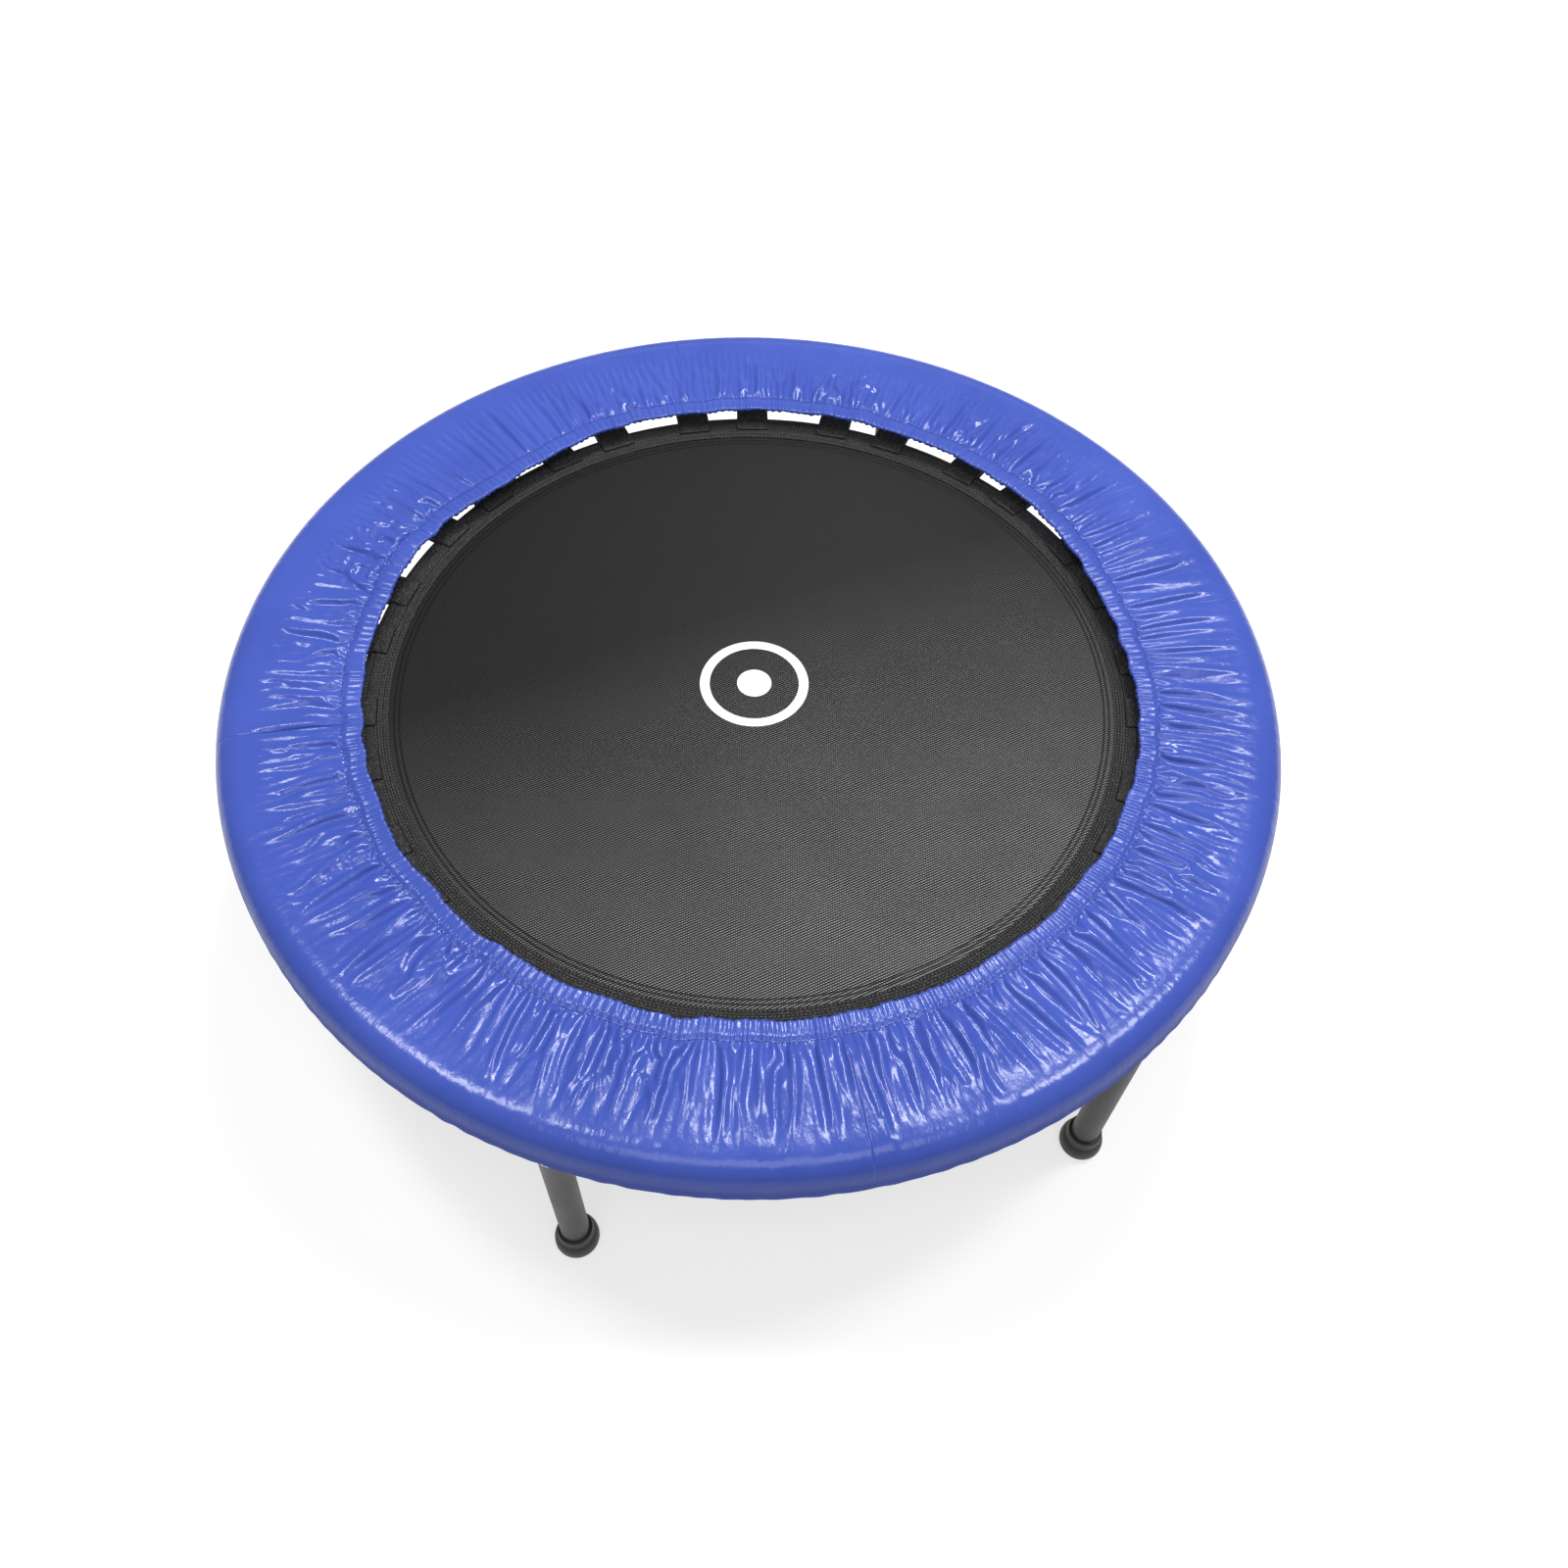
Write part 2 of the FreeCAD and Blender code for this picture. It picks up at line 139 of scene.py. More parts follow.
def area_light(name, position, size, power):
    """A soft box that faces the trampoline."""
    data = bpy.data.lights.new(name, "AREA")
    data.shape = "RECTANGLE"
    data.size, data.size_y = size
    data.energy = power
    obj = bpy.data.objects.new(name, data)
    obj.location = position
    obj.rotation_euler = (Vector(LIGHT_AIM) - Vector(position)).to_track_quat("-Z", "Y").to_euler()
    bpy.context.scene.collection.objects.link(obj)


def studio():
    """Pale surroundings, the soft boxes and a white floor."""
    world = bpy.data.worlds.new("studio")
    world.use_nodes = True
    sky = world.node_tree.nodes["Background"]
    sky.inputs["Color"].default_value = (0.93, 0.95, 1.0, 1)
    sky.inputs["Strength"].default_value = 0.29
    bpy.context.scene.world = world
    bpy.context.scene.view_settings.view_transform = "Standard"
    for light in LIGHTS:
        area_light(*light)

    size = FLOOR_HALF
    mesh = bpy.data.meshes.new("floor")
    mesh.from_pydata([(-size, -size, 0), (size, -size, 0), (size, size, 0), (-size, size, 0)],
                     [], [(0, 1, 2, 3)])
    floor = bpy.data.objects.new("floor", mesh)
    bpy.context.scene.collection.objects.link(floor)
    mat = new_material("floor")
    shader = mat.node_tree.nodes["Principled BSDF"]
    shader.inputs["Base Color"].default_value = (0.45, 0.45, 0.455, 1)
    shader.inputs["Roughness"].default_value = 0.9
    shader.inputs["Emission Color"].default_value = (1, 1, 1, 1)
    shader.inputs["Emission Strength"].default_value = 0.62
    mesh.materials.append(mat)


# ---- material helpers ----------------------------------------------------------------------
def new_material(name):
    """A material with the shader's own default nodes."""
    mat = bpy.data.materials.new(name)
    mat.use_nodes = True
    return mat


class Nodes:
    """Short calls for making and linking a material's nodes."""

    def __init__(self, mat):
        self.tree = mat.node_tree
        self.shader = mat.node_tree.nodes["Principled BSDF"]

    def add(self, kind, **settings):
        node = self.tree.nodes.new(kind)
        for name, value in settings.items():
            if name in node.inputs:
                self.feed(node.inputs[name], value)
            else:
                setattr(node, name, value)
        return node

    def feed(self, socket, value):
        """Links a socket, or sets its value."""
        if isinstance(value, bpy.types.NodeSocket):
            self.tree.links.new(value, socket)
        else:
            socket.default_value = value

    def math(self, operation, a, b=0.0, c=0.0):
        node = self.tree.nodes.new("ShaderNodeMath")
        node.operation = operation
        for socket, value in zip(node.inputs, (a, b, c)):
            self.feed(socket, value)
        return node.outputs[0]

    def position(self):
        return self.add("ShaderNodeTexCoord").outputs["Object"]

    def split(self, vector):
        return self.add("ShaderNodeSeparateXYZ", Vector=vector).outputs

    def join(self, x, y, z=0.0):
        return self.add("ShaderNodeCombineXYZ", X=x, Y=y, Z=z).outputs[0]

    def noise(self, vector, scale, detail=3.0, roughness=0.55):
        node = self.add("ShaderNodeTexNoise", Vector=vector, Scale=scale, Detail=detail)
        node.inputs["Roughness"].default_value = roughness
        return node.outputs["Fac"]

    def ramp(self, value, *stops):
        """Colour ramp; each stop is (position, colour or grey)."""
        node = self.tree.nodes.new("ShaderNodeValToRGB")
        self.feed(node.inputs["Fac"], value)
        points = node.color_ramp.elements
        while len(points) < len(stops):
            points.new(0.5)
        for element, (where, colour) in zip(points, stops):
            element.position = where
            grey = not hasattr(colour, "__len__")
            element.color = (colour, colour, colour, 1) if grey else (*colour, 1)
        return node.outputs["Color"]

    def remap(self, value, low, high, new_low, new_high):
        node = self.add("ShaderNodeMapRange", Value=value)
        limits = {"From Min": low, "From Max": high, "To Min": new_low, "To Max": new_high}
        for name, number in limits.items():
            node.inputs[name].default_value = number
        return node.outputs["Result"]

    def mix(self, factor, a, b):
        """Blend of two colours."""
        node = self.tree.nodes.new("ShaderNodeMix")
        node.data_type = "RGBA"
        self.feed(node.inputs[0], factor)
        for socket, colour in ((node.inputs[6], a), (node.inputs[7], b)):
            if isinstance(colour, bpy.types.NodeSocket):
                self.feed(socket, colour)
            else:
                socket.default_value = (*colour, 1)
        return node.outputs[2]

    def bump(self, height, distance, strength=1.0, normal=None):
        node = self.add("ShaderNodeBump", Height=height, Distance=distance, Strength=strength)
        if normal is not None:
            self.feed(node.inputs["Normal"], normal)
        return node.outputs["Normal"]

    def finish(self, **sockets):
        for name, value in sockets.items():
            self.feed(self.shader.inputs[name.replace("_", " ")], value)


def polar(n):
    """The azimuth, the radius and the height of the shaded point."""
    x, y, z = n.split(n.position())
    azimuth = n.math("ARCTAN2", x, n.math("MULTIPLY", y, -1.0))
    radius = n.math("SQRT", n.math("ADD", n.math("MULTIPLY", x, x), n.math("MULTIPLY", y, y)))
    return azimuth, radius, z


# ---- materials -----------------------------------------------------------------------------
def cover_pvc():
    """Glossy blue PVC-coated fabric: fine crumples, a faint cloth print-through, uneven gloss.

    The skirt is duller than the top, and its colour is darkened there as painted shade."""
    mat = new_material("cover_pvc")
    n = Nodes(mat)
    where = n.position()
    azimuth, radius, z = polar(n)
    tone = n.noise(where, 9.0, 4.0)
    colour = n.ramp(tone, (0.3, (0.038, 0.068, 0.328)), (0.7, (0.050, 0.085, 0.384)))
    skirt = n.remap(z, COVER_TOP - 26 * MM, COVER_TOP - 10 * MM, 1.0, 0.0)
    # painted shade: the skirt's base colour is mixed towards a darker blue
    colour = n.mix(n.math("MULTIPLY", skirt, 0.8), colour, (0.010, 0.038, 0.29))
    gloss = n.remap(n.noise(where, 34.0, 3.0), 0.3, 0.7, 0.15, 0.25)
    gloss = n.math("ADD", gloss, n.math("MULTIPLY", skirt, 0.55))
    rays = n.join(n.math("MULTIPLY", azimuth, 22.0), n.math("MULTIPLY", radius, 26.0), z)
    crumple = n.noise(rays, 2.2, 3.0, 0.5)
    cloth = n.math("MULTIPLY", n.math("SINE", n.math("MULTIPLY", azimuth, 2600.0)),
                   n.math("SINE", n.math("MULTIPLY", radius, 6300.0)))
    fine = n.bump(cloth, 0.00001, 0.2)
    normal = n.bump(crumple, 0.0018, 0.45, fine)
    n.finish(Base_Color=colour, Roughness=gloss, Normal=normal)
    n.shader.inputs["Specular IOR Level"].default_value = 0.32
    return mat


def sewing_thread():
    """Dark blue twisted thread."""
    mat = new_material("sewing_thread")
    n = Nodes(mat)
    azimuth, radius, _ = polar(n)
    twist = n.math("ADD", n.math("MULTIPLY", azimuth, 5200.0), n.math("MULTIPLY", radius, 9000.0))
    ply = n.math("SINE", twist)
    colour = n.ramp(n.remap(ply, -1.0, 1.0, 0.0, 1.0),
                    (0.2, (0.012, 0.025, 0.12)), (0.8, (0.030, 0.055, 0.24)))
    n.finish(Base_Color=colour, Normal=n.bump(ply, 0.0001, 0.6))
    n.shader.inputs["Roughness"].default_value = 0.6
    return mat


def cover_backing():
    """Woven polyester backing on the inside of the PVC."""
    mat = new_material("cover_backing")
    n = Nodes(mat)
    azimuth, radius, z = polar(n)
    warp = n.math("SINE", n.math("MULTIPLY", azimuth, 1900.0))
    weft = n.math("SINE", n.math("MULTIPLY", n.math("ADD", radius, z), 5200.0))
    weave = n.math("MULTIPLY", warp, weft)
    tone = n.noise(n.position(), 60.0)
    colour = n.ramp(n.math("ADD", n.math("MULTIPLY", weave, 0.18), tone),
                    (0.3, (0.045, 0.085, 0.30)), (0.75, (0.10, 0.16, 0.42)))
    n.finish(Base_Color=colour, Normal=n.bump(weave, 0.0001, 0.6))
    n.shader.inputs["Roughness"].default_value = 0.8
    return mat


WEAVE_PITCH = 2.2 * MM              # from rib to rib of the mat
WEAVE_SLANT = math.radians(27)
PRINT_RING = 46 * MM                # radius of the printed ring
PRINT_HALF_WIDTH = 4.5 * MM
PRINT_DOT = 16 * MM                 # radius of the printed dot
WEBBING_PITCH = 1.8 * MM
WEBBING_RIBS = 150                  # cross ribs of the webbing, round the mat
STITCHES_ROUND = 600                # stitches in one sewn row round the mat
MAT_SEAMS = (HEM_INNER - 9 * MM, HEM_INNER - 4.5 * MM)
HEM_SEAMS = tuple(HEM_INNER + offset * MM for offset in (1.5, 6.5, 11.5, 22))


def mat_weave(name, printed):
    """Black woven polypropylene with a fine slanting rib, its threads made paler towards the front and
    right as a painted sheen.

    It has two seams inside the hem, and may have a plain ring printed at its centre."""
    mat = new_material(name)
    n = Nodes(mat)
    where = n.position()
    x, y, _ = n.split(where)
    cos, sin = math.cos(WEAVE_SLANT), math.sin(WEAVE_SLANT)
    along = n.math("ADD", n.math("MULTIPLY", x, cos), n.math("MULTIPLY", y, sin))
    across = n.math("SUBTRACT", n.math("MULTIPLY", y, cos), n.math("MULTIPLY", x, sin))
    rib = n.math("SINE", n.math("MULTIPLY", across, TURN / WEAVE_PITCH))
    leaning = n.math("ADD", along, n.math("MULTIPLY", across, 0.5))
    tape = n.math("SINE", n.math("MULTIPLY", leaning, TURN / WEAVE_PITCH))
    weave = n.math("ADD", n.math("MULTIPLY", rib, 0.65), n.math("MULTIPLY", tape, 0.35))
    height = n.remap(weave, -0.8, 0.8, 0.0, 1.0)
    drift = n.noise(where, 14.0, 4.0)
    thread = n.ramp(height, (0.40, (0.002, 0.002, 0.002)), (0.66, (0.008, 0.008, 0.008)),
                    (0.95, (0.030, 0.030, 0.030)))
    # painted sheen: a paler, lit copy of the threads' colour, mixed in towards the front and right
    sheen_thread = n.ramp(height, (0.40, (0.006, 0.006, 0.006)), (0.66, (0.060, 0.060, 0.060)),
                    (0.95, (0.25, 0.25, 0.25)))
    forward = n.math("SUBTRACT", n.math("MULTIPLY", x, 0.45), y)
    painted_sheen = n.math("MULTIPLY", n.remap(forward, -0.10, 0.34, 0.0, 1.0),
                  n.remap(drift, 0.3, 0.7, 0.75, 1.0))
    thread_with_sheen = n.mix(painted_sheen, thread, sheen_thread)
    from_centre = n.math("SQRT", n.math("ADD", n.math("MULTIPLY", x, x), n.math("MULTIPLY", y, y)))
    off_ring = n.math("ABSOLUTE", n.math("SUBTRACT", from_centre, PRINT_RING))
    ring = n.math("LESS_THAN", off_ring, PRINT_HALF_WIDTH)
    disc = n.math("LESS_THAN", from_centre, PRINT_DOT)
    print_mask = n.math("MULTIPLY", n.math("ADD", ring, disc), n.remap(height, 0.05, 0.35, 0.75, 1.0))
    colour = n.mix(print_mask, thread_with_sheen, (0.80, 0.80, 0.80)) if printed else thread_with_sheen
    for row in MAT_SEAMS:
        off = n.math("ABSOLUTE", n.math("SUBTRACT", from_centre, row))
        colour = n.mix(n.remap(off, 0.0005, 0.0014, 0.85, 0.0), colour, (0.002, 0.002, 0.002))
    n.finish(Base_Color=colour, Roughness=n.remap(height, 0.35, 0.75, 0.80, 0.27),
             Normal=n.bump(height, 0.0003, 0.5))
    n.shader.inputs["Specular IOR Level"].default_value = 0.14
    return mat


def webbing(name, stitch_radii=()):
    """Black woven webbing with fine ribs, and rows of grey stitches at the given radii."""
    mat = new_material(name)
    n = Nodes(mat)
    where = n.position()
    azimuth, radius, _ = polar(n)
    rib = n.math("SINE", n.math("MULTIPLY", radius, TURN / WEBBING_PITCH))
    cross = n.math("SINE", n.math("MULTIPLY", azimuth, TURN * WEBBING_RIBS))
    weave = n.remap(n.math("MULTIPLY", rib, cross), -1.0, 1.0, 0.0, 1.0)
    # painted glints: pale flecks on the tops of the ribs stand for glints of light
    painted_glints = n.math("MULTIPLY", n.remap(n.noise(where, 520.0, 2.0), 0.52, 0.66, 0.0, 1.0),
                    n.remap(weave, 0.5, 0.9, 0.0, 1.0))
    colour = n.ramp(weave, (0.3, (0.003, 0.003, 0.003)), (0.8, (0.034, 0.034, 0.035)))
    colour = n.mix(n.math("MULTIPLY", painted_glints, 0.8), colour, (0.22, 0.215, 0.21))
    height = weave
    dash = n.remap(n.math("SINE", n.math("MULTIPLY", azimuth, STITCHES_ROUND)), -0.7, -0.2, 0.0, 1.0)
    for row in stitch_radii:
        off = n.math("ABSOLUTE", n.math("SUBTRACT", radius, row))
        groove = n.remap(off, 0.0006, 0.0016, 1.0, 0.0)
        thread = n.math("MULTIPLY", n.remap(off, 0.0003, 0.0006, 1.0, 0.0), dash)
        # painted shade: the colour darkens in the groove beside each row of stitches
        colour = n.mix(n.math("MULTIPLY", groove, 0.9), colour, (0.002, 0.002, 0.002))
        colour = n.mix(thread, colour, (0.085, 0.085, 0.087))
        height = n.math("ADD", n.math("SUBTRACT", height, n.math("MULTIPLY", groove, 2.5)),
                        n.math("MULTIPLY", thread, 2.2))
    n.finish(Base_Color=colour, Roughness=n.remap(weave, 0.0, 1.0, 0.6, 0.4),
             Normal=n.bump(height, 0.0003, 0.8))
    n.shader.inputs["Specular IOR Level"].default_value = 0.15
    return mat


def elastic():
    """Dark braided elastic with fine ribs."""
    mat = new_material("elastic")
    n = Nodes(mat)
    azimuth, _, z = polar(n)
    leaning = n.math("ADD", azimuth, n.math("MULTIPLY", z, 3.0))
    ribs = n.math("SINE", n.math("MULTIPLY", leaning, 1400.0))
    colour = n.ramp(ribs, (0.0, (0.010, 0.010, 0.012)), (1.0, (0.055, 0.055, 0.060)))
    n.finish(Base_Color=colour, Normal=n.bump(ribs, 0.0002, 0.7))
    n.shader.inputs["Roughness"].default_value = 0.75
    return mat


def foam():
    """Pale closed-cell foam: small cells and a little grime."""
    mat = new_material("foam")
    n = Nodes(mat)
    where = n.position()
    cells = n.add("ShaderNodeTexVoronoi", Vector=where, Scale=520.0).outputs["Distance"]
    grime = n.remap(n.noise(where, 18.0), 0.35, 0.75, 0.0, 0.5)
    colour = n.mix(grime, (0.78, 0.78, 0.76), (0.60, 0.60, 0.57))
    n.finish(Base_Color=colour, Normal=n.bump(cells, 0.0005, 0.6))
    n.shader.inputs["Roughness"].default_value = 0.85
    return mat


def painted_steel(name, dark, light, roughness):
    """Powder coat with orange peel, small scuffs and uneven gloss."""
    mat = new_material(name)
    n = Nodes(mat)
    where = n.position()
    x, y, z = n.split(where)
    tone = n.noise(where, 26.0, 5.0)
    colour = n.ramp(tone, (0.3, dark), (0.7, light))
    stretched = n.join(x, y, n.math("MULTIPLY", z, 0.25))
    scuff = n.remap(n.noise(stretched, 210.0, 5.0, 0.7), 0.66, 0.76, 0.0, 1.0)
    colour = n.mix(n.math("MULTIPLY", scuff, 0.35), colour, tuple(min(1, 2.2 * c + 0.03) for c in light))
    peel = n.noise(where, 900.0, 2.0)
    gloss = n.remap(tone, 0.3, 0.7, roughness - 0.05, roughness + 0.08)
    n.finish(Base_Color=colour, Roughness=gloss, Normal=n.bump(peel, 0.00012, 0.35))
    n.shader.inputs["Specular IOR Level"].default_value = 0.3
    return mat


def zinc(name):
    """Zinc plating: bright metal with faint mottling and drawing lines."""
    mat = new_material(name)
    n = Nodes(mat)
    where = n.position()
    mottle = n.noise(where, 160.0, 4.0)
    colour = n.ramp(mottle, (0.3, (0.46, 0.46, 0.45)), (0.7, (0.68, 0.69, 0.68)))
    gloss = n.remap(n.noise(where, 420.0, 3.0), 0.3, 0.7, 0.24, 0.44)
    n.finish(Base_Color=colour, Roughness=gloss, Normal=n.bump(mottle, 0.0001, 0.3))
    n.shader.inputs["Metallic"].default_value = 1.0
    return mat


def rubber():
    """Black moulded rubber with fine grain and dust on its lower part."""
    mat = new_material("foot_rubber")
    n = Nodes(mat)
    where = n.position()
    _, _, z = n.split(where)
    grain = n.noise(where, 1500.0, 2.0)
    dust = n.math("MULTIPLY", n.remap(z, 0.0, 0.02, 1.0, 0.0), n.noise(where, 150.0, 4.0))
    colour = n.mix(n.math("MULTIPLY", dust, 0.35), (0.012, 0.012, 0.012), (0.10, 0.095, 0.09))
    rings = n.math("SINE", n.math("MULTIPLY", z, TURN / 0.0024))
    normal = n.bump(rings, 0.00015, 0.25, n.bump(grain, 0.0001, 0.3))
    n.finish(Base_Color=colour, Roughness=n.remap(grain, 0.3, 0.7, 0.42, 0.6), Normal=normal)
    return mat


# ---- mesh helpers --------------------------------------------------------------------------
def link_mesh(name, points, faces):
    """A smooth-shaded mesh object, linked to the scene."""
    mesh = bpy.data.meshes.new(name)
    mesh.from_pydata([tuple(p) for p in points], [], faces)
    mesh.polygons.foreach_set("use_smooth", [True] * len(mesh.polygons))
    mesh.update()
    obj = bpy.data.objects.new(name, mesh)
    bpy.context.scene.collection.objects.link(obj)
    return obj


def grid_faces(rows, columns, close_rows=False, close_columns=False):
    """Quads over a grid of vertices; vertex number is row * columns + column."""
    faces = []
    for i in range(rows if close_rows else rows - 1):
        for j in range(columns if close_columns else columns - 1):
            a, b = i * columns + j, i * columns + (j + 1) % columns
            c, d = (i + 1) % rows * columns + (j + 1) % columns, (i + 1) % rows * columns + j
            faces.append((a, b, c, d))
    return faces


def arc_points(centre, radius, first, last, steps):
    """Points on an arc in the (radius, height) plane, angles in degrees from the outward side."""
    angles = np.radians(np.linspace(first, last, steps))
    return [(centre[0] + radius * math.cos(a), centre[1] + radius * math.sin(a)) for a in angles]


def wire_along(path, radius, sides=8):
    """Points and faces of a round wire along a list of points, with domed ends."""
    path = [Vector(p) for p in path]
    rings = []
    normal = None
    for i, here in enumerate(path):
        ahead = (path[min(i + 1, len(path) - 1)] - path[max(i - 1, 0)]).normalized()
        if normal is None:
            normal = ahead.orthogonal().normalized()
        normal = (normal - ahead * normal.dot(ahead)).normalized()
        side = ahead.cross(normal)
        rings.append((here, normal.copy(), side, ahead))
    points, faces = [], []

    def add_ring(centre, size, normal, side):
        for k in range(sides):
            angle = TURN * k / sides
            points.append(centre + (normal * math.cos(angle) + side * math.sin(angle)) * size)

    first, last = rings[0], rings[-1]
    add_ring(first[0] - first[3] * radius * 0.6, radius * 0.55, first[1], first[2])
    for here, normal, side, ahead in rings:
        add_ring(here, radius, normal, side)
    add_ring(last[0] + last[3] * radius * 0.6, radius * 0.55, last[1], last[2])
    count = len(rings) + 2
    faces += grid_faces(count, sides, close_columns=True)
    faces.append(tuple(range(sides - 1, -1, -1)))
    faces.append(tuple(range((count - 1) * sides, count * sides)))
    return points, faces


# ---- gathered cover ------------------------------------------------------------------------
PANEL_COLUMNS = 520
COLUMNS = PANEL_COLUMNS * len(PANELS)
STITCH_R = HOLE_R + 18.5 * MM       # the stitch line that closes the tunnel of the elastic
CORNER = 27 * MM                    # size of the rolled outer edge
ROUNDNESS = 0.85                    # under 1: the rolled edge starts more gently than a circle
SHEET = 0.6 * MM                    # thickness of the PVC with its backing
GROOVE = 1.5 * MM                   # depth of the stitch line under the sheet beside it
HEM_ROLL = 2.2 * MM                 # radius of the skirt's rolled hem
MOUTH_ROLL = 2.1 * MM               # radius of the fold at the edge of the hole
FALL = 3.5 * MM                     # the top drops this much from the rolled edge to the hole
TUNNEL_TOP = COVER_TOP - FALL
GATHERS = 330                       # tight gathers of the tunnel, round the rim
GATHER_HEIGHT = 1.0 * MM
GATHER_FADE = 9 * MM                # how far past the stitch line the tight gathers reach
HEM_WAVE = 0.30 * MM
MOUTH_FADE = 22 * MM                # how far past the stitch line the waves of the hole's edge reach
MOUTH_BULGES = (                    # centre and half width in degrees, depth inwards
    (224, 12, 7 * MM),
    (104, 19, 7 * MM),
    (253, 9, -3 * MM),
)
FOLDS = (                           # count, height, length, slant, bend
    (118, 3.8 * MM, 96 * MM, 0.14, 0.10),
    (185, 2.4 * MM, 58 * MM, 0.16, 0.16),
    (250, 1.4 * MM, 24 * MM, 0.10, 0.10),
)
SPARE = 0.25                        # how much wider than its place the sheet is cut at the tunnel
SPARE_WIDTH = 108 * MM              # where the spare width has run out, from the stitch line
HELD_FROM = 88 * MM                 # the sheet is held from here outwards
FOAM_GIVE = 2.6 * MM                # how far a valley can press into the foam
KEPT_FROM, KEPT_OVER = 58 * MM, 34 * MM     # the settled sheet passes into the drawn folds here
RELAX_STEPS = 60
RELAX_PASSES = 3
BEND_SPAN = 3                       # columns that a link against bending spans
WEIGHT = 0.002 * MM                 # fall of the sheet in one step
STRETCH, SHEAR = 0.9, 0.25          # stiffness of the straight and of the diagonal links
BEND_AROUND, BEND_OUT = 0.30, 0.35  # stiffness of the links against bending
SLACK_OUT, SLACK_ACROSS = 0.9, 0.5  # push of outward and of diagonal links that are too short
EASE = 0.45                         # share of the links' corrections made in one pass
DAMPING = 0.85                      # share of the speed that is left after one step
STITCH_COLUMNS = 4                  # one stitch and the gap after it
STITCH_LIFTS = (0.05 * MM, 0.32 * MM, 0.32 * MM, 0.05 * MM)
THREAD = 0.28 * MM                  # radius of the thread
rng = np.random.default_rng(11)


def cover_profile():
    """Rows of the cover's outer face from the hem to the mouth: (radius, height, distance).

    The distance is along the sheet, outwards from the stitch line; it is negative in the tunnel."""
    corner = (COVER_R - CORNER, COVER_TOP - CORNER)
    mouth = HOLE_R + MOUTH_ROLL
    rows = arc_points((COVER_R - HEM_ROLL, SKIRT_FOOT + HEM_ROLL), HEM_ROLL, -200, 0, 9)
    skirt = np.linspace(SKIRT_FOOT + HEM_ROLL, corner[1], 7)[1:-1]
    rows += [(COVER_R, z) for z in skirt]
    for angle in np.radians(np.linspace(0, 89.999, 17)):
        rows.append((corner[0] + CORNER * math.cos(angle) ** ROUNDNESS,
                     corner[1] + CORNER * math.sin(angle) ** ROUNDNESS))
    top = np.linspace(corner[0], STITCH_R + 1.4 * MM, 40)[1:]
    for r in top:
        u = (r - STITCH_R) / (corner[0] - STITCH_R)
        groove = GROOVE * math.exp(-((r - STITCH_R) / (4.0 * MM)) ** 2)
        rows.append((r, COVER_TOP - FALL * (1 - u) ** 1.5 - groove))
    rows.append((STITCH_R, TUNNEL_TOP - GROOVE))
    for u in np.linspace(0, 1, 10)[1:-1]:
        r = STITCH_R + (mouth - STITCH_R) * u
        dip = GROOVE * math.exp(-((r - STITCH_R) / (2.8 * MM)) ** 2)
        rows.append((r, TUNNEL_TOP + 0.3 * MM * math.sin(math.pi * u) - dip))
    rows += arc_points((mouth, TUNNEL_TOP - MOUTH_ROLL), MOUTH_ROLL, 90, 270, 9)
    for u in np.linspace(0, 1, 7)[1:]:
        rows.append((mouth + (STITCH_R - 0.8 * MM - mouth) * u, TUNNEL_TOP - 2 * MOUTH_ROLL))
    rows = np.array(rows)
    step = np.hypot(*np.diff(rows, axis=0).T)
    along = np.concatenate([[0], np.cumsum(step)])
    beside, above = rows[:, 0] - STITCH_R, rows[:, 1] - (TUNNEL_TOP - GROOVE)
    stitch_row = int(np.argmin(np.abs(beside) + np.abs(above) * 3))
    return rows, along[stitch_row] - along


def wave(azimuth, count, seed, spread=3):
    """Smooth periodic noise round the rim, with about that many waves and a height of about 1."""
    draw = np.random.default_rng(seed)
    total = np.zeros_like(azimuth)
    for k in range(max(1, count - spread), count + spread + 1):
        total += draw.normal() * np.cos(k * azimuth + draw.uniform(0, TURN))
    return total / math.sqrt(2 * spread + 1)


def region(azimuth):
    """How far and how strongly the sheet is gathered: 1 at the front and right, less elsewhere."""
    front = 0.5 + 0.5 * np.cos(azimuth - math.radians(28))
    return np.clip(0.32 + 0.85 * front ** 1.2, 0, 1)


class Pleats:
    """Irregular radial folds: flat facets between crests and valleys that taper to nothing.

    Slant and bend turn a fold sideways by that much of its distance from the stitch line."""

    def __init__(self, count, height, length, slant, bend):
        total = 2 * count
        step = TURN / total
        self.azimuth = (np.arange(total) + rng.uniform(-0.42, 0.42, total)) * step
        strength = region(self.azimuth)
        crest = np.arange(total) % 2 == 0
        self.height = np.where(crest, rng.uniform(0.45, 1.25, total), -rng.uniform(0.0, 0.55, total))
        self.height *= height * (0.45 + 0.55 * strength)
        own = rng.uniform(0.45, 1.15, total)
        self.length = length * own * (0.25 + 0.75 * strength)
        lean = wave(self.azimuth, 9, int(rng.integers(1 << 30)), 4)
        self.slant = slant * (0.7 * lean + rng.normal(0, 0.45, total))
        self.bend = bend * rng.normal(0, 1, total)

    def row(self, azimuths, radius, distance):
        """Heights of the folds at a distance from the stitch line."""
        u = np.clip(distance / self.length, 0, 1)
        grow = np.clip(0.30 + 3.2 * u, 0, 1)
        tall = self.height * grow * (1 - u) ** 0.85 * (1 + 0.5 * u)
        turn = (self.slant * distance + self.bend * distance * u) / radius
        centre = self.azimuth + turn
        return np.interp(azimuths, centre, tall, period=TURN)


